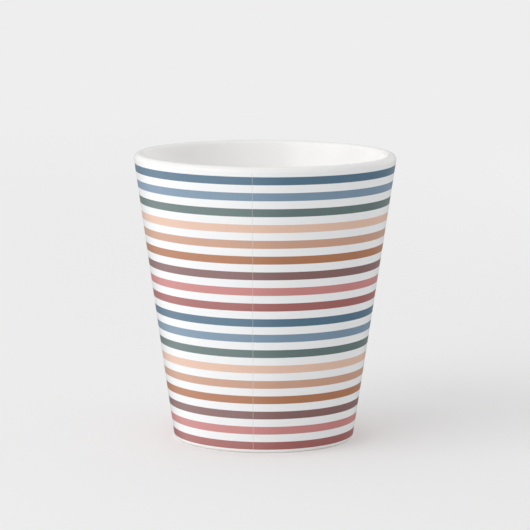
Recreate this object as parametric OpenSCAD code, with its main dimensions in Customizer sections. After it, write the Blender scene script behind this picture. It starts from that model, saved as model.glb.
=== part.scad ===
// Tall conical coffee mug in glazed stoneware. The cup is cast in one piece, the ear
// handle is cast apart and luted to the wall with slip at both ends, and bands of
// colour are printed through a hard coat round the outside.
//
// Millimetres. +Z is up and the table is z = 0. The Z axis is the axis of the cup, and
// the handle stands out along +Y.

/* [Cup] */
// Height from the table to the top of the lip
height = 102.2; // [96:0.2:115]
// Diameter of the straight wall's line at the height of the lip
rim_d = 93.86; // [88:0.02:100]
// Diameter of the straight wall's line at the table
foot_d = 64.2; // [58:0.2:70]
// Thickness of the wall at the lip, measured level
lip_wall = 3.7; // [3.2:0.1:4.6]
// Thickness of the wall at the inside floor, measured level
floor_wall = 4.4; // [3.8:0.1:5.5]
// Height of the inside floor above the table
floor_z = 6.6; // [5.5:0.1:9]
// Radius where the inside floor turns up into the wall
floor_fillet = 9; // [4:0.5:14]
// Radius of the inner edge of the lip
lip_inner_r = 1.8; // [0.8:0.1:2]

/* [Foot] */
// Rounding of the foot's outer edge
foot_edge_r = 0.9; // [0.6:0.1:1.5]
// Width of the flat ring that the mug stands on
foot_ring_w = 4.2; // [3:0.1:6]
// Depth of the recess under the floor
recess_depth = 1.5; // [0.8:0.1:2.2]
// Width of the soft slope between the ring and the recess
recess_slope_w = 3; // [2:0.1:5]

/* [Glaze and coat] */
// Thickness of the glaze, and of the print coat outside
skin_t = 0.3; // [0.25:0.05:0.4]

/* [Stripes] */
// Number of printed bands
stripe_count = 18; // [9:1:18]
// Height of one band
stripe_h = 2.86; // [1.5:0.01:3]
// White left between the top of the coat and the first band
stripe_top_gap = 1.15; // [0.1:0.05:2]
// White left between the last band and the bottom of the coat
stripe_foot_gap = 0.52; // [0.2:0.02:2]
// Angle round the handle that is left unprinted
print_gap = 46; // [36:1:80]

/* [Handle] */
// Distance from the top of the lip down to the middle of the upper root
handle_drop = 20; // [16:1:24]
// Length of the level run from the wall to the upper bend
handle_reach = 9; // [7:0.5:11]
// Radius of the upper bend, to the middle of the strap
upper_bend_r = 17; // [15:0.5:19]
// Radius of the long back of the ear
back_r = 70; // [60:1:90]
// Radius of the lower bend
lower_bend_r = 17; // [15:0.5:18]
// Angle turned by the upper bend
upper_turn = 100; // [98:1:104]
// Angle turned by the upper bend and the back together
back_turn = 118; // [114:1:120]
// Width of the strap, from side to side
strap_w = 13; // [10:0.5:15]
// Thickness of the strap
strap_t = 7.6; // [6.5:0.1:8.5]
// Radius of the slip fillet round each root
slip_r = 3.6; // [2.5:0.1:4]

/* [Hidden] */

$fn = 96;

rim_r = rim_d / 2;
foot_r = foot_d / 2;
lean = atan((rim_r - foot_r) / height);

// Radius of the finished outside wall at a height
function wall_r(z) = foot_r + (rim_r - foot_r) * z / height;

// The inside wall runs straight from the lip to the floor, a little steeper than the outside
inner_top_r = rim_r - lip_wall;
inner_floor_r = wall_r(floor_z) - floor_wall;
inner_lean = atan((inner_top_r - inner_floor_r) / (height - floor_z));

// The lip is two arcs that meet at its crest, each tangent to its own side of the wall
crest_r = inner_top_r - lip_inner_r * tan(inner_lean) + lip_inner_r / cos(inner_lean);
lip_outer_r = (rim_r - crest_r) / (tan(lean) + 1 / cos(lean));
lip_inner_c = [crest_r, height - lip_inner_r];
lip_outer_c = [crest_r, height - lip_outer_r];

fillet_c = [
    inner_floor_r + floor_fillet * tan(inner_lean) - floor_fillet / cos(inner_lean),
    floor_z + floor_fillet
];

foot_edge_c = [wall_r(foot_edge_r) - foot_edge_r / cos(lean), foot_edge_r];
ring_inner_r = foot_edge_c[0] - foot_ring_w;
// Part of the recess slope that is left bare below the glaze
bare_slope = 0.25;

arc_steps = 12;
slope_steps = 8;

// Arc about a centre, from one angle to another
function arc(centre, r, from, to) = [
    for (i = [0 : arc_steps])
        let (a = from + (to - from) * i / arc_steps)
        centre + r * [cos(a), sin(a)]
];

// Inside floor, inside wall and lip as one line from the axis to the top of the outside
// wall. A depth below the finished surface moves every stretch in by as much.
function lining_line(depth) = concat(
    [[0, floor_z - depth]],
    arc(fillet_c, floor_fillet + depth, -90, -inner_lean),
    arc(lip_inner_c, lip_inner_r - depth, 180 - inner_lean, 90),
    arc(lip_outer_c, lip_outer_r - depth, 90, -lean)
);

// Half-cosine slope from the foot ring up into the recess, between two parts of its width
function recess_line(from, to, lift) = [
    for (i = [0 : slope_steps])
        let (t = from + (to - from) * i / slope_steps)
        [ring_inner_r - recess_slope_w * t, lift + recess_depth * (1 - cos(180 * t)) / 2]
];

function reversed(points) = [for (i = [len(points) - 1 : -1 : 0]) points[i]];

// Thickness of a skin on the outside wall, measured level
skin_level = skin_t / cos(lean);
// How far a cutting shape runs past what it cuts
cut_margin = 1;

// Unit normal of the outside wall, and the ends of the coat along it
wall_normal = [cos(lean), -sin(lean)];
function coat_top(depth) = lip_outer_c + (lip_outer_r - depth) * wall_normal;
function coat_foot(depth) = foot_edge_c + (foot_edge_r - depth) * wall_normal;

// Top edge of the first band, and the step down from each band to the next
first_stripe_z = coat_top(0)[1] - stripe_top_gap;
last_stripe_z = coat_foot(0)[1] + stripe_foot_gap + stripe_h;
stripe_pitch = (first_stripe_z - last_stripe_z) / (stripe_count - 1);

// Handle: three arcs in the plane x = 0, each starting where the last one ends. Angles
// are counted from +Y up towards +Z.
handle_top_z = height - handle_drop;
handle_start = [wall_r(handle_top_z) + handle_reach, handle_top_z];
upper_c = handle_start - [0, upper_bend_r];
upper_end_a = 90 - upper_turn;
back_c = upper_c + (upper_bend_r - back_r) * [cos(upper_end_a), sin(upper_end_a)];
back_end_a = 90 - back_turn;
lower_c = back_c + (back_r - lower_bend_r) * [cos(back_end_a), sin(back_end_a)];
handle_end = lower_c - [0, lower_bend_r];
handle_bottom_z = handle_end[1];

// Depth to which a root runs into the wall before the wall cuts it off
root_depth = 3;
// Thickness of the slip where its fillet runs out along the strap
slip_edge = 0.15;
slip_steps = 8;
seat_steps = 3;
outline_sides = 40;
// Power of the rounded outline of the strap: 2 is an ellipse, more is squarer
outline_power = 2.5;

// Outline of the strap, grown by a margin: [thickness way, width way]
function strap_point(a, margin = 0) = [
    (strap_t / 2 + margin) * sign(cos(a)) * pow(abs(cos(a)), 2 / outline_power),
    (strap_w / 2 + margin) * sign(sin(a)) * pow(abs(sin(a)), 2 / outline_power)
];
function strap_outline(margin = 0) = [
    for (i = [0 : outline_sides - 1]) strap_point(360 * i / outline_sides, margin)
];

// The printed colours, from the top band down, and then again from the first
inks = [
    ["slate_blue", [0.34, 0.46, 0.55]],
    ["light_blue", [0.49, 0.58, 0.67]],
    ["grey_green", [0.40, 0.47, 0.47]],
    ["peach", [0.89, 0.75, 0.67]],
    ["tan", [0.80, 0.63, 0.54]],
    ["copper", [0.70, 0.48, 0.35]],
    ["plum", [0.53, 0.40, 0.40]],
    ["rose", [0.79, 0.53, 0.52]],
    ["brick", [0.65, 0.40, 0.39]]
];
function ink(k) = inks[k % len(inks)];
function stripe_name(k) = str("stripe_", k < 9 ? "0" : "", k + 1, "_", ink(k)[0]);

stoneware = [0.90, 0.89, 0.86];
white_glaze = [0.96, 0.96, 0.95];
coat_white = [0.98, 0.98, 0.98];
slip_white = [0.93, 0.92, 0.90];

// Fired cup: the wall, floor and foot ring, a skin's thickness below the glaze and coat
module body() {
    color(stoneware)
    rotate_extrude()
    polygon(concat(
        lining_line(skin_t),
        [coat_foot(skin_t)],
        arc(foot_edge_c, foot_edge_r, -lean, -90),
        recess_line(0, bare_slope, 0),
        recess_line(bare_slope, 1, skin_t),
        [[0, recess_depth + skin_t]]
    ));
}

// White glaze over the inside and the lip, down to where the outside wall runs straight
module inside_glaze() {
    color(white_glaze)
    rotate_extrude()
    polygon(concat(lining_line(0), reversed(lining_line(skin_t))));
}

// White glaze in the recess under the floor, which leaves the foot ring bare
module base_glaze() {
    color(white_glaze)
    rotate_extrude()
    polygon(concat(
        recess_line(bare_slope, 1, 0),
        [[0, recess_depth], [0, recess_depth + skin_t]],
        reversed(recess_line(bare_slope, 1, skin_t))
    ));
}

// Band of the outside wall over the printed part of the turn, counted from the top. It
// reaches from a level depth under the finished wall to a distance proud of it.
module printed_band(k, under, proud) {
    high_z = first_stripe_z - k * stripe_pitch;
    low_z = high_z - stripe_h;
    rotate_extrude(angle = 360 - print_gap, start = 90 + print_gap / 2)
    polygon([
        [wall_r(low_z) - under, low_z],
        [wall_r(low_z) + proud, low_z],
        [wall_r(high_z) + proud, high_z],
        [wall_r(high_z) - under, high_z]
    ]);
}

// One printed band, which takes the full depth of the coat
module stripe(k) {
    color(ink(k)[1])
    printed_band(k, skin_level, 0);
}

// Moves a shape in the plane x = 0 in two steps, whole microns first, so that the ends
// of neighbouring stretches of the handle meet exactly
module place(y, z) {
    whole = [round(y * 1000), round(z * 1000)] / 1000;
    translate([0, whole[0], whole[1]])
    translate([0, y - whole[0], z - whole[1]])
    children();
}

// Turns an outline drawn as [thickness way, width way] and raised along Z so that it is
// raised along +Y instead, with its thickness upright
module along_y() {
    rotate([-90, -90, 0])
    children();
}

// Hard coat on the outside wall, with a gap for each printed band and a window at each
// root of the handle
module print_coat() {
    color(coat_white)
    difference() {
        rotate_extrude()
        polygon([coat_top(0), coat_top(skin_t), coat_foot(skin_t), coat_foot(0)]);
        for (k = [0 : stripe_count - 1])
            printed_band(k, skin_level + cut_margin, cut_margin);
        for (z = [handle_top_z, handle_bottom_z])
            place(0, z)
            along_y()
            linear_extrude(rim_r + cut_margin)
            polygon(strap_outline(slip_r));
    }
}

// Solid cone inside the coat, which cuts off the roots of the handle
module wall_core() {
    cylinder(h = height, r1 = foot_r - skin_level, r2 = rim_r - skin_level);
}

// One bend of the handle about a centre in the plane x = 0
module bend(centre, r, from, to) {
    place(centre[0], centre[1])
    rotate([90, 0, 90])
    rotate_extrude(angle = to - from, start = from)
    translate([r, 0])
    polygon(strap_outline());
}

// Level root of the handle, from where its bend begins back into the wall
module root(end) {
    place(end[0], end[1])
    mirror([0, 1, 0])
    along_y()
    linear_extrude(end[0] - wall_r(end[1]) + root_depth)
    polygon(strap_outline());
}

// Ear handle: two level roots and three bends, cut to the curve of the wall
module handle() {
    color(white_glaze)
    difference() {
        union() {
            root(handle_start);
            bend(upper_c, upper_bend_r, upper_end_a, 90);
            bend(back_c, back_r, back_end_a, upper_end_a);
            bend(lower_c, lower_bend_r, -90, back_end_a);
            root(handle_end);
        }
        wall_core();
    }
}

// A point beside a root: a margin out from the strap's outline, under the finished wall
// by a level depth and then out from there, along a wall that curves away and leans
function slip_point(z, a, margin, under, out) =
    let (p = strap_point(a, margin))
    [p[1], sqrt(pow(wall_r(z + p[0]) - under, 2) - pow(p[1], 2)) + out, z + p[0]];

// Section of the slip as [margin, under, out]: the quarter-round fillet from the wall to
// the strap, then its seat on the fired cup from the strap back out
slip_section = concat(
    [for (i = [0 : slip_steps])
        let (t = 90 * i / slip_steps)
        [slip_edge + (slip_r - slip_edge) * (1 - sin(t)), 0, slip_r * (1 - cos(t))]
    ],
    [[0, 0, slip_r]],
    [for (i = [0 : seat_steps]) [slip_r * i / seat_steps, skin_level, 0]]
);

// Fired slip round one root of the handle, a ring that fills the corner with the wall
module slip_joint(z) {
    sides = outline_sides;
    around = len(slip_section);
    points = [
        for (i = [0 : sides - 1], s = slip_section)
            slip_point(z, 360 * i / sides, s[0], s[1], s[2])
    ];
    faces = [
        for (i = [0 : sides - 1], j = [0 : around - 1])
            let (
                next_i = (i + 1) % sides,
                next_j = (j + 1) % around,
                a = i * around + j,
                b = next_i * around + j,
                c = next_i * around + next_j,
                d = i * around + next_j
            )
            each [[a, b, c], [a, c, d]]
    ];
    color(slip_white)
    polyhedron(points, faces);
}

module upper_slip_joint() {
    slip_joint(handle_top_z);
}

module lower_slip_joint() {
    slip_joint(handle_bottom_z);
}

body();
inside_glaze();
base_glaze();
print_coat();
handle();
upper_slip_joint();
lower_slip_joint();
for (k = [0 : stripe_count - 1])
    stripe(k);
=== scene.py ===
"""Tall conical coffee mug: a cast cup, a luted ear handle, glaze, and printed bands.

Lengths are in metres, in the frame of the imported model: +Z is up, the table is z = 0,
the axis of the cup is the Z axis, and the handle stands out along +Y.
"""

from math import atan, cos, pi, radians, sin, tan

import bpy
import numpy as np
from mathutils import Matrix, Vector


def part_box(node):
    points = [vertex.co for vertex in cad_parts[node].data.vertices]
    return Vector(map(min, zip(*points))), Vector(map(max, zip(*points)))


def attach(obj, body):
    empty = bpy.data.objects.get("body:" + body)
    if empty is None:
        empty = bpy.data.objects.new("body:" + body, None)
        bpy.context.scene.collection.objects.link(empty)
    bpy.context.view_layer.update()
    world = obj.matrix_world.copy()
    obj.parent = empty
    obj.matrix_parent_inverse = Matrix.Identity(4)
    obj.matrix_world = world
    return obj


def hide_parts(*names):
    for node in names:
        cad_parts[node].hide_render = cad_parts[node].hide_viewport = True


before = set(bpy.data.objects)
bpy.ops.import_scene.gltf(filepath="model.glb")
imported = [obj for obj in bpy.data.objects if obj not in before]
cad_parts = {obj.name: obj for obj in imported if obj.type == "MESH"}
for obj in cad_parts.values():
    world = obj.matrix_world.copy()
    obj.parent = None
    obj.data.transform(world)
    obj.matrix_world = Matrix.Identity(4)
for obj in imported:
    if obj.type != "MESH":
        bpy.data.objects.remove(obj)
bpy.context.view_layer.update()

MM = 0.001

# ---------------------------------------------------------------- sizes

STRIPES = sorted(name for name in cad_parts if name.startswith("stripe_"))
BANDS = [(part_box(name)[0].z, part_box(name)[1].z) for name in STRIPES]
FIRST_BAND_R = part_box(STRIPES[0])[1].x
LAST_BAND_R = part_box(STRIPES[-1])[1].x
WALL_SLOPE = (FIRST_BAND_R - LAST_BAND_R) / (BANDS[0][1] - BANDS[-1][1])
LEAN = atan(WALL_SLOPE)

# Sizes that no box shows. FLOOR_T is the floor with the glaze on top of it, and
# BARE_SLOPE is the part of the recess's slope that has no glaze.
SKIN = 0.3 * MM
FLOOR_T = 4.8 * MM
LIP_WALL = 3.7 * MM
FLOOR_WALL = 4.4 * MM
FLOOR_FILLET = 9 * MM
LIP_INNER_R = 1.8 * MM
FOOT_EDGE_R = 0.9 * MM
FOOT_RING_W = 4.2 * MM
RECESS_SLOPE_W = 3 * MM
BARE_SLOPE = 0.25
PRINT_GAP = radians(46)

# Heights in the cup
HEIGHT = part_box("inside_glaze")[1].z
FLOOR_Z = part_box("base_glaze")[1].z + FLOOR_T
RECESS_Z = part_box("base_glaze")[1].z - SKIN
COAT_LOW, COAT_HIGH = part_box("print_coat")[0].z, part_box("print_coat")[1].z

# The handle: its strap, its roots, its bends and its slip. Turns are the heading below
# +Y at the end of the upper bend and of the back.
STRAP_LOW, STRAP_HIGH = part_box("handle")
STRAP_W = STRAP_HIGH.x - STRAP_LOW.x
STRAP_T = 7.6 * MM
UPPER_ROOT_Z = STRAP_HIGH.z - STRAP_T / 2
LOWER_ROOT_Z = STRAP_LOW.z + STRAP_T / 2
EAR_REACH = STRAP_HIGH.y - STRAP_T / 2
UPPER_BEND_R = 17 * MM
BACK_R = 70 * MM
LOWER_BEND_R = 17 * MM
UPPER_TURN = radians(100)
BACK_TURN = radians(118)
OUTLINE_POWER = 2.5
EAR_EASE = 6 * MM
ROOT_DEPTH = 2.5 * MM
SLIP_R = 3.6 * MM
SLIP_OVERLAP = 0.03 * MM
SLIP_DEPTH = 0.8 * MM

# How fine the pieces are
TURN_STEPS = 288
GAP_STEPS = 36
ARC_STEPS = 16
BAND_STEPS = 6
OUTLINE_STEPS = 96
SLIP_STEPS = 20
FLOOR_STEPS = 96
EAR_STEP = 0.4 * MM
CLAY_STEP = 4 * MM
GLAZE_STEP = 3 * MM
SHARP_EDGE = radians(40)


def wall_r(z):
    """Radius of the finished outside wall: the straight line through the top edges of
    the first band and the last."""
    return FIRST_BAND_R + (z - BANDS[0][1]) * WALL_SLOPE


# ---------------------------------------------------------------- surfaces


def arc(centre, r, start, end):
    """Points centre + r (cos a, sin a), with a going evenly from start to end."""
    a = np.linspace(start, end, ARC_STEPS + 1)
    return np.stack([centre[0] + r * np.cos(a), centre[1] + r * np.sin(a)], axis=-1)


def grid_quads(rows, cols, wrap_rows=False, wrap_cols=False):
    """Corner numbers of a grid's cells, counted row by row. A wrapped way joins its
    last line to its first. The normal is (along a row) x (across the rows)."""
    i = np.arange(rows if wrap_rows else rows - 1)[:, None]
    j = np.arange(cols if wrap_cols else cols - 1)[None, :]
    i_next, j_next = (i + 1) % rows, (j + 1) % cols
    corners = [i * cols + j, i * cols + j_next, i_next * cols + j_next, i_next * cols + j]
    return np.stack(np.broadcast_arrays(*corners), axis=-1).reshape(-1, 4)


def fan(hub, ring):
    """Triangles from a hub vertex to each pair of neighbours round a closed ring."""
    return np.stack([np.full_like(ring, hub), ring, np.roll(ring, -1)], axis=-1)


def piece(name, points, quads, triangles, node, uv=None):
    """Mesh object from whole arrays, riding on the body and standing for a CAD node."""
    mesh = bpy.data.meshes.new(name)
    mesh.vertices.add(len(points))
    mesh.vertices.foreach_set("co", np.ascontiguousarray(points, np.float32).ravel())
    corners = np.concatenate([quads.ravel(), triangles.ravel()]).astype(np.int32)
    sizes = np.concatenate([np.full(len(quads), 4), np.full(len(triangles), 3)])
    mesh.loops.add(len(corners))
    mesh.loops.foreach_set("vertex_index", corners)
    mesh.polygons.add(len(sizes))
    starts = np.concatenate([[0], np.cumsum(sizes)[:-1]]).astype(np.int32)
    mesh.polygons.foreach_set("loop_start", starts)
    mesh.update(calc_edges=True)
    if uv is not None:
        layer = mesh.uv_layers.new(name="surface")
        layer.uv.foreach_set("vector", np.ascontiguousarray(uv[corners], np.float32).ravel())
    mesh.shade_smooth()
    mesh.set_sharp_from_angle(angle=SHARP_EDGE)
    obj = bpy.data.objects.new(name, mesh)
    bpy.context.scene.collection.objects.link(obj)
    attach(obj, "root")
    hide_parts(node)
    return obj


NO_TRIANGLES = np.zeros((0, 3), int)


def lathe(name, line, node):
    """Closed solid of revolution: each point (r, z) of the line, which starts and ends
    on the axis, becomes the ring (r cos a, r sin a, z), with a whole turn in even steps."""
    rings = line[1:-1]
    a = np.arange(TURN_STEPS) * 2 * pi / TURN_STEPS
    x = np.cos(a)[:, None] * rings[None, :, 0]
    y = np.sin(a)[:, None] * rings[None, :, 0]
    z = np.broadcast_to(rings[None, :, 1], x.shape)
    poles = np.array([[0, 0, line[0, 1]], [0, 0, line[-1, 1]]])
    points = np.concatenate([np.stack([x, y, z], axis=-1).reshape(-1, 3), poles])
    count = len(rings)
    first = np.arange(TURN_STEPS) * count
    last = first + count - 1
    ends = [fan(len(points) - 2, first), fan(len(points) - 1, last)[:, ::-1]]
    quads = grid_quads(TURN_STEPS, count, wrap_rows=True)
    return piece(name, points, quads, np.concatenate(ends), node)


# ---------------------------------------------------------------- the cup


def spread(line, longest):
    """The same line with extra points, so that no step is longer than a length."""
    out = [line[:1]]
    for start, end in zip(line[:-1], line[1:]):
        steps = max(1, int(np.ceil(np.linalg.norm(end - start) / longest)))
        t = np.arange(1, steps + 1)[:, None] / steps
        out.append(start + (end - start) * t)
    return np.concatenate(out)


def lip_centres():
    """Centres (r, z) of the lip's inner and outer arcs, and the outer arc's radius. Both
    arcs meet at the crest, and each is tangent to its own side of the wall."""
    inner_top = wall_r(HEIGHT) - LIP_WALL
    crest = inner_top - LIP_INNER_R * tan(INNER_LEAN) + LIP_INNER_R / cos(INNER_LEAN)
    outer_r = (wall_r(HEIGHT) - crest) / (tan(LEAN) + 1 / cos(LEAN))
    return (crest, HEIGHT - LIP_INNER_R), (crest, HEIGHT - outer_r), outer_r


INNER_FLOOR_R = wall_r(FLOOR_Z) - FLOOR_WALL
INNER_LEAN = atan((wall_r(HEIGHT) - LIP_WALL - INNER_FLOOR_R) / (HEIGHT - FLOOR_Z))
LIP_INNER_C, LIP_OUTER_C, LIP_OUTER_R = lip_centres()
FILLET_C = (
    INNER_FLOOR_R + FLOOR_FILLET * tan(INNER_LEAN) - FLOOR_FILLET / cos(INNER_LEAN),
    FLOOR_Z + FLOOR_FILLET,
)
FOOT_EDGE_C = (wall_r(FOOT_EDGE_R) - FOOT_EDGE_R / cos(LEAN), FOOT_EDGE_R)
RING_INNER_R = FOOT_EDGE_C[0] - FOOT_RING_W


def lining_line(depth):
    """Inside floor, its fillet, the inside wall and the lip's two arcs, as one line of
    (r, z) from the axis to the top of the outside wall, a depth below the surface."""
    parts = [
        [[0, FLOOR_Z - depth]],
        arc(FILLET_C, FLOOR_FILLET + depth, -pi / 2, -INNER_LEAN),
        arc(LIP_INNER_C, LIP_INNER_R - depth, pi - INNER_LEAN, pi / 2),
        arc(LIP_OUTER_C, LIP_OUTER_R - depth, pi / 2, -LEAN)[1:],
    ]
    return np.concatenate(parts)


def recess_line(start, end, lift):
    """Half-cosine slope from the foot ring up into the recess, as (r, z), between two
    parts of its width."""
    t = np.linspace(start, end, ARC_STEPS + 1)
    height = RECESS_Z * (1 - np.cos(pi * t)) / 2
    return np.stack([RING_INNER_R - RECESS_SLOPE_W * t, lift + height], axis=-1)


def cup_body():
    """Fired cup: the lining's line a skin below, the outside wall a skin below, the
    bare foot edge and ring, and the recess."""
    normal = np.array([cos(LEAN), -sin(LEAN)])
    coat_end = np.array(FOOT_EDGE_C) + (FOOT_EDGE_R - SKIN) * normal
    parts = [
        lining_line(SKIN),
        [coat_end],
        arc(FOOT_EDGE_C, FOOT_EDGE_R, -LEAN, -pi / 2),
        recess_line(0, BARE_SLOPE, 0),
        recess_line(BARE_SLOPE, 1, SKIN),
        [[0, RECESS_Z + SKIN]],
    ]
    return lathe("cup_body", spread(np.concatenate(parts), CLAY_STEP), "body")


def inside_lining():
    """Glaze between the lining's line and the same line a skin below."""
    line = np.concatenate([lining_line(0), lining_line(SKIN)[::-1]])
    return lathe("inside_lining", spread(line, GLAZE_STEP), "inside_glaze")


def recess_glaze():
    """Glaze of one skin's thickness over the recess, up to the bare part of its slope."""
    under = recess_line(BARE_SLOPE, 1, 0)
    over = recess_line(BARE_SLOPE, 1, SKIN)
    line = np.concatenate([[[0, RECESS_Z + SKIN]], over[::-1], under, [[0, RECESS_Z]]])
    return lathe("recess_glaze", spread(line, GLAZE_STEP), "base_glaze")


# ---------------------------------------------------------------- coat and printed bands

# Angles round the cup: first the printed part of the turn, then the gap at the handle
PRINTED_A = np.linspace(
    pi / 2 + PRINT_GAP / 2, pi / 2 - PRINT_GAP / 2 + 2 * pi, TURN_STEPS - GAP_STEPS + 1
)
GAP_A = np.linspace(pi / 2 - PRINT_GAP / 2, pi / 2 + PRINT_GAP / 2, GAP_STEPS + 1)


def wall_points(a, z, depth):
    """Points (r cos a, r sin a, z) at every angle a and height z, where r is the outside
    wall's radius at z less a depth."""
    r = wall_r(z)[None, :] - depth
    x = np.cos(a)[:, None] * r
    y = np.sin(a)[:, None] * r
    return np.stack([x, y, np.broadcast_to(z[None, :], x.shape)], axis=-1)


def coat():
    """Outside coat: two copies of a grid over the whole wall, one a skin inside the
    other. Cells under the printed bands are left out, and every edge between a cell that
    is there and one that isn't is closed by a wall from the outer copy to the inner."""
    z = np.array([COAT_LOW, *sorted(edge for pair in BANDS for edge in pair), COAT_HIGH])
    a = np.concatenate([PRINTED_A[:-1], GAP_A[:-1]])
    rows, cols = len(a), len(z)
    depth = SKIN / cos(LEAN)
    points = np.concatenate([wall_points(a, z, 0), wall_points(a, z, depth)]).reshape(-1, 3)
    there = np.ones((rows, cols - 1), bool)
    there[: len(PRINTED_A) - 1, 1::2] = False
    inner = rows * cols
    quads = grid_quads(rows, cols, wrap_rows=True)[there.ravel()][:, ::-1]
    walls = []
    i, j = np.indices((rows, cols))
    here = i * cols + j
    next_row = ((i + 1) % rows) * cols + j
    padded = np.pad(there, ((0, 0), (1, 1)))
    above = padded[:, 1:] & ~padded[:, :-1]
    below = padded[:, :-1] & ~padded[:, 1:]
    for mask, one, two in ((above, here, next_row), (below, next_row, here)):
        walls.append(side_wall(one[mask], two[mask], inner))
    before = np.roll(there, 1, axis=0)
    one, two = here[:, :-1], here[:, 1:]
    walls.append(side_wall(two[there & ~before], one[there & ~before], inner))
    walls.append(side_wall(one[~there & before], two[~there & before], inner))
    quads = np.concatenate([quads, quads[:, ::-1] + inner] + walls)
    used, quads = np.unique(quads, return_inverse=True)
    return piece("outside_coat", points[used], quads.reshape(-1, 4), NO_TRIANGLES, "print_coat")


def side_wall(one, two, inner):
    """Quads between outer edges, one to two, and the same edges of the inner copy."""
    return np.stack([two, one, one + inner, two + inner], axis=-1)


def band(node, low, high):
    """Printed band: its four-cornered section, between two heights of the wall and a
    skin deep, carried along the printed part of the turn and closed at both ends. The
    surface map runs along the band and across it."""
    name = node.replace("stripe_", "band_")
    z = np.linspace(low, high, BAND_STEPS + 1)
    outer = wall_points(PRINTED_A, z, 0)
    inner = wall_points(PRINTED_A, z[::-1], SKIN / cos(LEAN))
    points = np.concatenate([outer, inner], axis=1)
    rows, cols = points.shape[:2]
    quads = grid_quads(rows, cols, wrap_cols=True)[:, ::-1]
    half = cols // 2
    k = np.arange(half - 1)
    start = np.stack([k, k + 1, cols - 2 - k, cols - 1 - k], axis=-1)
    end = start[:, ::-1] + (rows - 1) * cols
    u = np.broadcast_to(np.linspace(0, 1, rows)[:, None], (rows, cols))
    across = np.linspace(0, 1, half)
    v = np.broadcast_to(np.concatenate([across, across[::-1]])[None, :], (rows, cols))
    uv = np.stack([u, v], axis=-1).reshape(-1, 2)
    quads = np.concatenate([quads, start, end])
    return piece(name, points.reshape(-1, 3), quads, NO_TRIANGLES, node, uv=uv)


# ---------------------------------------------------------------- handle and slip


def strap_outline(margin=0.0):
    """Rounded outline of the strap, grown by a margin: the curve |p/t|^n + |q/w|^n = 1,
    as (thickness way, width way)."""
    a = np.arange(OUTLINE_STEPS) * 2 * pi / OUTLINE_STEPS
    power = 2 / OUTLINE_POWER
    p = (STRAP_T / 2 + margin) * np.sign(np.cos(a)) * np.abs(np.cos(a)) ** power
    q = (STRAP_W / 2 + margin) * np.sign(np.sin(a)) * np.abs(np.sin(a)) ** power
    return np.stack([p, q], axis=-1)


def ear_line():
    """Middle of the handle as (y, z), and its heading below +Y. The curvature is zero
    along the roots and one over each bend's radius, eased over a short length, and two
    running sums turn it into the heading and then the line."""
    start = np.array([wall_r(UPPER_ROOT_Z) - ROOT_DEPTH, UPPER_ROOT_Z])
    end = np.array([wall_r(LOWER_ROOT_Z) - ROOT_DEPTH, LOWER_ROOT_Z])
    upper_c = np.array([EAR_REACH - UPPER_BEND_R, UPPER_ROOT_Z - UPPER_BEND_R])
    back_c = upper_c + (UPPER_BEND_R - BACK_R) * np.array([sin(UPPER_TURN), cos(UPPER_TURN)])
    lower_c = back_c + (BACK_R - LOWER_BEND_R) * np.array([sin(BACK_TURN), cos(BACK_TURN)])
    bends = [
        (0, upper_c[0] - start[0]),
        (1 / UPPER_BEND_R, UPPER_BEND_R * UPPER_TURN),
        (1 / BACK_R, BACK_R * (BACK_TURN - UPPER_TURN)),
        (1 / LOWER_BEND_R, LOWER_BEND_R * (pi - BACK_TURN)),
        (0, lower_c[0] - end[0]),
    ]
    stops = np.cumsum([length for _, length in bends])
    s = np.arange(0, stops[-1], EAR_STEP)
    curvature = np.array([k for k, _ in bends])[np.searchsorted(stops, s, side="right")]
    window = np.hanning(int(EAR_EASE / EAR_STEP) | 1)
    reach = len(window) // 2
    eased = np.convolve(np.pad(curvature, reach), window / window.sum(), mode="valid")
    heading = np.cumsum(eased) * EAR_STEP
    heading *= pi / heading[-1]
    moves = np.stack([np.cos(heading), -np.sin(heading)], axis=-1) * EAR_STEP
    line = start + np.cumsum(moves, axis=0)
    line += (end - line[-1]) * (s / s[-1])[:, None]
    return line, heading


def strap():
    """Handle: the strap's outline carried along the ear's line, square to its heading,
    with a flat cap inside the wall at each end."""
    line, heading = ear_line()
    outline = strap_outline()
    p, q = outline[None, :, 0], outline[None, :, 1]
    x = np.broadcast_to(q, (len(line), len(outline)))
    y = line[:, :1] + p * np.sin(heading)[:, None]
    z = line[:, 1:] + p * np.cos(heading)[:, None]
    rows, cols = x.shape
    hubs = np.array([[0, *line[0]], [0, *line[-1]]])
    points = np.concatenate([np.stack([x, y, z], axis=-1).reshape(-1, 3), hubs])
    ring = np.arange(cols)
    caps = [fan(rows * cols, ring), fan(rows * cols + 1, ring + (rows - 1) * cols)[:, ::-1]]
    quads = grid_quads(rows, cols, wrap_cols=True)[:, ::-1]
    return piece("ear_handle", points, quads, np.concatenate(caps), "handle")


def slip(name, node, root_z):
    """Slip fillet round a root: a quarter round that leaves the wall tangent to it and
    runs out tangent to the strap, carried round the strap's outline and closed inside
    the wall. It overlaps both by a hair. The wall's own curve and lean set where each
    point of it starts."""
    t = np.linspace(0, pi / 2, SLIP_STEPS + 1)
    fillet = SLIP_R * np.stack([1 - np.sin(t), 1 - np.cos(t)], axis=-1) - SLIP_OVERLAP
    closing = [
        [-SLIP_DEPTH, SLIP_R],
        [-SLIP_DEPTH, -SLIP_DEPTH],
        [SLIP_R - SLIP_OVERLAP, -SLIP_DEPTH],
    ]
    section = np.concatenate([fillet, closing])
    outlines = np.stack([strap_outline(margin) for margin in section[:, 0]], axis=1)
    z = root_z + outlines[..., 0]
    x = outlines[..., 1]
    y = np.sqrt(wall_r(z) ** 2 - x**2) + section[None, :, 1]
    points = np.stack([x, y, z], axis=-1)
    quads = grid_quads(*points.shape[:2], wrap_rows=True, wrap_cols=True)
    return piece(name, points.reshape(-1, 3), quads, NO_TRIANGLES, node)


# ---------------------------------------------------------------- shader helpers


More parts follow.
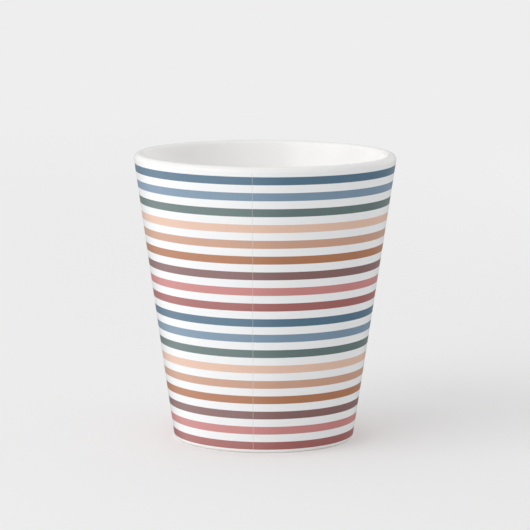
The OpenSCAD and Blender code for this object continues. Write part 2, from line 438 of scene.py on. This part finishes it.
def add(tree, kind, sockets=None, **settings):
    """New node. A socket's value is a number, a colour or another node's output."""
    node = tree.nodes.new(kind)
    for key, value in settings.items():
        setattr(node, key, value)
    for key, value in (sockets or {}).items():
        if isinstance(value, bpy.types.NodeSocket):
            tree.links.new(value, node.inputs[key])
        else:
            node.inputs[key].default_value = value
    return node


def math(tree, operation, *values):
    """Output of a Math node."""
    return add(tree, "ShaderNodeMath", dict(enumerate(values)), operation=operation).outputs[0]


def ramp(tree, value, low, high):
    """0 at low, 1 at high, eased between them."""
    sockets = {"Value": value, "From Min": low, "From Max": high}
    return add(tree, "ShaderNodeMapRange", sockets, interpolation_type="SMOOTHSTEP").outputs[0]


def mix(tree, factor, one, two):
    """Colour from one to two by a factor."""
    node = add(tree, "ShaderNodeMix", data_type="RGBA")
    for socket, value in zip((node.inputs[0], node.inputs[6], node.inputs[7]), (factor, one, two)):
        if isinstance(value, bpy.types.NodeSocket):
            tree.links.new(value, socket)
        else:
            socket.default_value = value
    return node.outputs[2]


def noise(tree, period, detail=2.0, offset=(0, 0, 0)):
    """Noise from 0 to 1 whose lumps are about a period across, in the piece's own space."""
    place = add(tree, "ShaderNodeTexCoord").outputs["Object"]
    moved = add(tree, "ShaderNodeVectorMath", {0: place, 1: offset}, operation="ADD")
    sockets = {"Vector": moved.outputs[0], "Scale": 1 / period, "Detail": detail}
    return add(tree, "ShaderNodeTexNoise", sockets).outputs["Fac"]


def group(name, inputs, outputs):
    """Empty node group with named inputs and outputs, each (name, socket kind, default)."""
    tree = bpy.data.node_groups.new(name, "ShaderNodeTree")
    for label, kind, default in inputs:
        socket = tree.interface.new_socket(label, in_out="INPUT", socket_type=kind)
        socket.default_value = default
    for label, kind in outputs:
        tree.interface.new_socket(label, in_out="OUTPUT", socket_type=kind)
    return tree, add(tree, "NodeGroupInput").outputs, add(tree, "NodeGroupOutput").inputs


def use(tree, effect, **values):
    """Places a node group and gives its outputs. A value's name has _ for a space."""
    node = add(tree, "ShaderNodeGroup", node_tree=effect)
    for key, value in values.items():
        socket = node.inputs[key.replace("_", " ")]
        if isinstance(value, bpy.types.NodeSocket):
            tree.links.new(value, socket)
        else:
            socket.default_value = value
    return node.outputs


def material(name, roughness):
    """New material, its tree and its Principled shader's inputs."""
    mat = bpy.data.materials.new(name)
    mat.use_nodes = True
    shader = mat.node_tree.nodes["Principled BSDF"]
    shader.inputs["Roughness"].default_value = roughness
    return mat, mat.node_tree, shader.inputs


def linear(r, g, b):
    """Linear colour with alpha from the 0 to 255 values of a colour chart."""
    chart = np.array([r, g, b]) / 255
    value = np.where(chart <= 0.04045, chart / 12.92, ((chart + 0.055) / 1.055) ** 2.4)
    return (*value.tolist(), 1.0)


# ---------------------------------------------------------------- shared effects

COLOR, FLOAT, NORMAL = "NodeSocketColor", "NodeSocketFloat", "NodeSocketVector"

# The seam's place at the table, its sideways move for each metre up, its width, and the
# parts of that width over which its edge fades
SEAM_X = -3.54 * MM
SEAM_LEAN = -0.0076
SEAM_W = 0.3 * MM
SEAM_EDGE = (0.35, 0.65)


def ripple_effect():
    """Fired gloss is never dead flat: fine orange peel over long soft waves."""
    tree, given, out = group(
        "fired ripple",
        [("Peel Height", FLOAT, 0.004 * MM), ("Wave Height", FLOAT, 0.02 * MM)],
        [("Normal", NORMAL)],
    )
    peel = noise(tree, period=1.6 * MM, detail=1.0)
    wave = noise(tree, period=17 * MM, detail=1.0)
    height = math(
        tree,
        "ADD",
        math(tree, "MULTIPLY", peel, given["Peel Height"]),
        math(tree, "MULTIPLY", wave, given["Wave Height"]),
    )
    bump = add(tree, "ShaderNodeBump", {"Height": height, "Distance": 1.0})
    tree.links.new(bump.outputs["Normal"], out["Normal"])
    return tree


def drift_effect():
    """Slow, faint change of tone over a surface, and a finer mottle on top of it."""
    tree, given, out = group(
        "tone drift",
        [("Color", COLOR, (1, 1, 1, 1)), ("Drift", FLOAT, 0.02), ("Mottle", FLOAT, 0.02)],
        [("Color", COLOR)],
    )
    slow = math(tree, "SUBTRACT", noise(tree, period=28 * MM), 0.5)
    mottle = noise(tree, period=0.7 * MM, detail=3.0, offset=(3, 5, 7))
    fine = math(tree, "SUBTRACT", mottle, 0.5)
    shade = math(
        tree,
        "ADD",
        math(tree, "MULTIPLY", slow, given["Drift"]),
        math(tree, "MULTIPLY_ADD", fine, given["Mottle"], 1.0),
    )
    scaled = add(
        tree, "ShaderNodeVectorMath", {0: given["Color"], "Scale": shade}, operation="SCALE"
    )
    tree.links.new(scaled.outputs[0], out["Color"])
    return tree


def seam_effect():
    """Hairline where the two ends of the print sheet meet, on the side away from the
    handle. It is a little left of the middle, and leans left on its way up."""
    tree, given, out = group("print seam", [("Width", FLOAT, SEAM_W)], [("Mask", FLOAT)])
    place = add(tree, "ShaderNodeTexCoord").outputs["Object"]
    split = add(tree, "ShaderNodeSeparateXYZ", {0: place}).outputs
    line = math(tree, "MULTIPLY_ADD", split["Z"], SEAM_LEAN, SEAM_X)
    off = math(tree, "ABSOLUTE", math(tree, "SUBTRACT", split["X"], line))
    near = math(tree, "DIVIDE", off, given["Width"])
    hair = math(tree, "SUBTRACT", 1.0, ramp(tree, near, *SEAM_EDGE))
    front = math(tree, "LESS_THAN", split["Y"], 0.0)
    tree.links.new(math(tree, "MULTIPLY", hair, front), out["Mask"])
    return tree


RIPPLE = ripple_effect()
DRIFT = drift_effect()
SEAM = seam_effect()

# ---------------------------------------------------------------- materials

INKS = {
    "slate_blue": (86, 117, 139),
    "light_blue": (124, 149, 170),
    "grey_green": (101, 121, 119),
    "peach": (228, 192, 172),
    "tan": (203, 160, 137),
    "copper": (178, 122, 89),
    "plum": (136, 103, 101),
    "rose": (201, 135, 132),
    "brick": (165, 103, 100),
}
GLAZE_WHITE = linear(242, 241, 240)
COAT_WHITE = linear(241, 242, 243)
SEAM_ON_WHITE = linear(216, 216, 216)
SEAM_ON_INK = linear(235, 225, 222)
BLED_INK = linear(225, 222, 220)
FIRED_CLAY = linear(236, 232, 225)
SCUFFED_CLAY = linear(190, 185, 178)

# Roughness, heights and widths of grain, and the share of a tone that each mark takes
GLAZE_ROUGHNESS = 0.2
COAT_ROUGHNESS = 0.25
CLAY_ROUGHNESS = 0.8
COAT_PEEL = 0.006 * MM
SCUFF_HIGH = 0.25 * MM
SCUFF_PATCHES = (0.45, 0.7)
SCUFF_SHARE = 0.35
GRAIN = 0.25 * MM
GRAIN_HIGH = 0.03 * MM
BLEED_SHARE = 0.04
SEAM_SHARE_ON_WHITE = 0.5
SEAM_SHARE_ON_INK = 0.2


def white_glaze():
    """Clean white gloss glaze."""
    mat, tree, shader = material("white glaze", GLAZE_ROUGHNESS)
    tone = use(tree, DRIFT, Color=GLAZE_WHITE, Drift=0.02, Mottle=0.01)
    tree.links.new(tone["Color"], shader["Base Color"])
    tree.links.new(use(tree, RIPPLE)["Normal"], shader["Normal"])
    return mat


def coat_white():
    """Hard coat over white, a little less glossy than glaze, with the seam's hairline."""
    mat, tree, shader = material("print coat", COAT_ROUGHNESS)
    tone = use(tree, DRIFT, Color=COAT_WHITE, Drift=0.015, Mottle=0.01)
    seam = math(tree, "MULTIPLY", use(tree, SEAM)["Mask"], SEAM_SHARE_ON_WHITE)
    tree.links.new(mix(tree, seam, tone["Color"], SEAM_ON_WHITE), shader["Base Color"])
    tree.links.new(use(tree, RIPPLE, Peel_Height=COAT_PEEL)["Normal"], shader["Normal"])
    return mat


def ink(name, chart):
    """Dye in the coat: a faint blotch and grain, edges that bleed by a hair, and the
    pale hairline of the seam."""
    mat, tree, shader = material(f"ink {name}", COAT_ROUGHNESS)
    tone = use(tree, DRIFT, Color=linear(*chart), Drift=0.05, Mottle=0.08)["Color"]
    across = add(tree, "ShaderNodeUVMap", uv_map="surface").outputs["UV"]
    v = add(tree, "ShaderNodeSeparateXYZ", {0: across}).outputs["Y"]
    from_edge = math(tree, "SUBTRACT", 0.5, math(tree, "ABSOLUTE", math(tree, "SUBTRACT", v, 0.5)))
    ragged = math(tree, "MULTIPLY", noise(tree, period=0.3 * MM), BLEED_SHARE)
    full = ramp(tree, from_edge, 0.0, ragged)
    bled = mix(tree, full, BLED_INK, tone)
    seam = math(tree, "MULTIPLY", use(tree, SEAM)["Mask"], SEAM_SHARE_ON_INK)
    tree.links.new(mix(tree, seam, bled, SEAM_ON_INK), shader["Base Color"])
    tree.links.new(use(tree, RIPPLE, Peel_Height=COAT_PEEL)["Normal"], shader["Normal"])
    return mat


def bare_clay():
    """Dry fired clay of the foot: fine sandy grain, and a grey scuff on the ring."""
    mat, tree, shader = material("bare stoneware", CLAY_ROUGHNESS)
    tone = use(tree, DRIFT, Color=FIRED_CLAY, Drift=0.06, Mottle=0.12)["Color"]
    place = add(tree, "ShaderNodeTexCoord").outputs["Object"]
    height = add(tree, "ShaderNodeSeparateXYZ", {0: place}).outputs["Z"]
    on_ring = math(tree, "SUBTRACT", 1.0, ramp(tree, height, 0.0, SCUFF_HIGH))
    patches = ramp(tree, noise(tree, period=3 * MM), *SCUFF_PATCHES)
    scuff = math(tree, "MULTIPLY", on_ring, patches)
    scuffed = math(tree, "MULTIPLY", scuff, SCUFF_SHARE)
    tree.links.new(mix(tree, scuffed, tone, SCUFFED_CLAY), shader["Base Color"])
    grain = math(tree, "MULTIPLY", noise(tree, period=GRAIN, detail=3.0), GRAIN_HIGH)
    bump = add(tree, "ShaderNodeBump", {"Height": grain, "Distance": 1.0})
    tree.links.new(bump.outputs["Normal"], shader["Normal"])
    return mat


# ---------------------------------------------------------------- build


def finish_piece(obj, mat):
    """Gives a piece its material."""
    obj.data.materials.append(mat)


glaze = white_glaze()
finish_piece(cup_body(), bare_clay())
finish_piece(inside_lining(), glaze)
finish_piece(recess_glaze(), glaze)
finish_piece(coat(), coat_white())
finish_piece(strap(), glaze)
finish_piece(slip("upper_slip", "upper_slip_joint", UPPER_ROOT_Z), glaze)
finish_piece(slip("lower_slip", "lower_slip_joint", LOWER_ROOT_Z), glaze)

ink_materials = {name: ink(name, chart) for name, chart in INKS.items()}
for node, (low, high) in zip(STRIPES, BANDS):
    colour = node.split("_", 2)[2]
    finish_piece(band(node, low, high), ink_materials[colour])

# ---------------------------------------------------------------- floor, light, camera

WHITE = linear(255, 255, 255)
BACKDROP = linear(238, 238, 238)
FLOOR_TONE = linear(240, 240, 240)
FLOOR_R = 8.0
FLOOR_FADE = (0.35, 1.2)

# Each light comes from an azimuth and an elevation, in degrees. The dome brightens
# between two values of a direction's z. The side glow brightens between two values of
# the cosine to its own direction, and fades out above the horizon.
DOME_GLOW = 0.72
DOME_GROWS = (-0.6, 0.4)
SIDE_GLOW = 1.85
SIDE_GLOW_FROM = (-65, -25)
SIDE_GLOW_GROWS = (0.1, 1.05)
SIDE_GLOW_BELOW = (0.1, -0.1)
LIGHT_DISTANCE = 1.6
WINDOW_POWER = 10.8
WINDOW_FROM = (-54, 30)
WINDOW_SIZE = (1.75, 1.3)
LEFT_FILL_POWER = 4.2
LEFT_FILL_FROM = (-125, 8)
RIGHT_FILL_POWER = 7.8
RIGHT_FILL_FROM = (138, 8)
FILL_SIZE = (0.6, 0.45)

CAMERA_AT = (0.00104, -1.037, 0.2153)
CAMERA_PITCH = radians(8.416)
CAMERA_TURN = radians(0.048)
CAMERA_ROLL = radians(-0.321)
LENS_MM = 199.1
SENSOR_MM = 36


def floor():
    """Round pale floor. Far out it fades into the backdrop's own tone."""
    a = np.arange(FLOOR_STEPS) * 2 * pi / FLOOR_STEPS
    ring = np.stack([FLOOR_R * np.cos(a), FLOOR_R * np.sin(a), 0 * a], axis=-1)
    mesh = bpy.data.meshes.new("floor")
    mesh.from_pydata(ring.tolist(), [], [list(range(FLOOR_STEPS))])
    obj = bpy.data.objects.new("floor", mesh)
    bpy.context.scene.collection.objects.link(obj)
    obj.visible_glossy = False
    mat = bpy.data.materials.new("pale floor")
    mat.use_nodes = True
    tree = mat.node_tree
    tree.nodes.clear()
    place = add(tree, "ShaderNodeTexCoord").outputs["Object"]
    away = add(tree, "ShaderNodeVectorMath", {0: place}, operation="LENGTH").outputs["Value"]
    near = add(tree, "ShaderNodeBsdfDiffuse", {"Color": FLOOR_TONE}).outputs[0]
    far = add(tree, "ShaderNodeEmission", {"Color": BACKDROP}).outputs[0]
    fade = ramp(tree, away, *FLOOR_FADE)
    mixed = add(tree, "ShaderNodeMixShader", {0: fade, 1: near, 2: far}).outputs[0]
    add(tree, "ShaderNodeOutputMaterial", {"Surface": mixed})
    mesh.materials.append(mat)


def direction(degrees):
    """Unit vector of an (azimuth, elevation). Azimuth is from the front, towards +X."""
    azimuth, elevation = map(radians, degrees)
    level = cos(elevation)
    return Vector((level * sin(azimuth), -level * cos(azimuth), sin(elevation)))


def softbox(name, degrees, size, power, fill=False):
    """Soft light panel that faces the middle of the cup and isn't seen directly. A fill
    light makes no highlight and no shadow."""
    towards = direction(degrees)
    light = bpy.data.lights.new(name, "AREA")
    light.shape = "RECTANGLE"
    light.size, light.size_y = size
    light.energy = power
    obj = bpy.data.objects.new(name, light)
    obj.location = towards * LIGHT_DISTANCE + Vector((0, 0, HEIGHT / 2))
    obj.rotation_euler = towards.to_track_quat("Z", "Y").to_euler()
    obj.visible_camera = False
    obj.visible_glossy = not fill
    light.use_shadow = not fill
    bpy.context.scene.collection.objects.link(obj)


def studio():
    """Soft dome of light with a low glow on the left, an even backdrop behind the cup,
    one wide soft light from the front left and a faint one behind on each side."""
    world = bpy.data.worlds.new("studio")
    bpy.context.scene.world = world
    world.use_nodes = True
    tree = world.node_tree
    tree.nodes.clear()
    way = add(tree, "ShaderNodeTexCoord").outputs["Generated"]
    up = add(tree, "ShaderNodeSeparateXYZ", {0: way}).outputs["Z"]
    low = math(tree, "MULTIPLY", ramp(tree, up, *SIDE_GLOW_BELOW), SIDE_GLOW)
    side = tuple(direction(SIDE_GLOW_FROM))
    near = add(tree, "ShaderNodeVectorMath", {0: way, 1: side}, operation="DOT_PRODUCT")
    towards = ramp(tree, near.outputs["Value"], *SIDE_GLOW_GROWS)
    glow = math(tree, "MULTIPLY", towards, low)
    light = math(tree, "MULTIPLY_ADD", ramp(tree, up, *DOME_GROWS), DOME_GLOW, glow)
    dome = add(tree, "ShaderNodeBackground", {"Color": WHITE, "Strength": light}).outputs[0]
    seen = add(tree, "ShaderNodeBackground", {"Color": BACKDROP}).outputs[0]
    ray = add(tree, "ShaderNodeLightPath").outputs["Is Camera Ray"]
    mixed = add(tree, "ShaderNodeMixShader", {0: ray, 1: dome, 2: seen}).outputs[0]
    add(tree, "ShaderNodeOutputWorld", {"Surface": mixed})
    softbox("window", WINDOW_FROM, WINDOW_SIZE, WINDOW_POWER)
    softbox("left_fill", LEFT_FILL_FROM, FILL_SIZE, LEFT_FILL_POWER, fill=True)
    softbox("right_fill", RIGHT_FILL_FROM, FILL_SIZE, RIGHT_FILL_POWER, fill=True)


def camera():
    """Long lens in front of the cup and above its lip, aimed down at it."""
    data = bpy.data.cameras.new("camera")
    data.lens = LENS_MM
    data.sensor_width = SENSOR_MM
    obj = bpy.data.objects.new("camera", data)
    aim = Matrix.Rotation(CAMERA_TURN, 4, "Z") @ Matrix.Rotation(pi / 2 - CAMERA_PITCH, 4, "X")
    roll = Matrix.Rotation(-CAMERA_ROLL, 4, "Z")
    obj.matrix_world = Matrix.Translation(CAMERA_AT) @ aim @ roll
    bpy.context.scene.collection.objects.link(obj)
    bpy.context.scene.camera = obj


floor()
studio()
camera()
bpy.context.scene.view_settings.view_transform = "Standard"
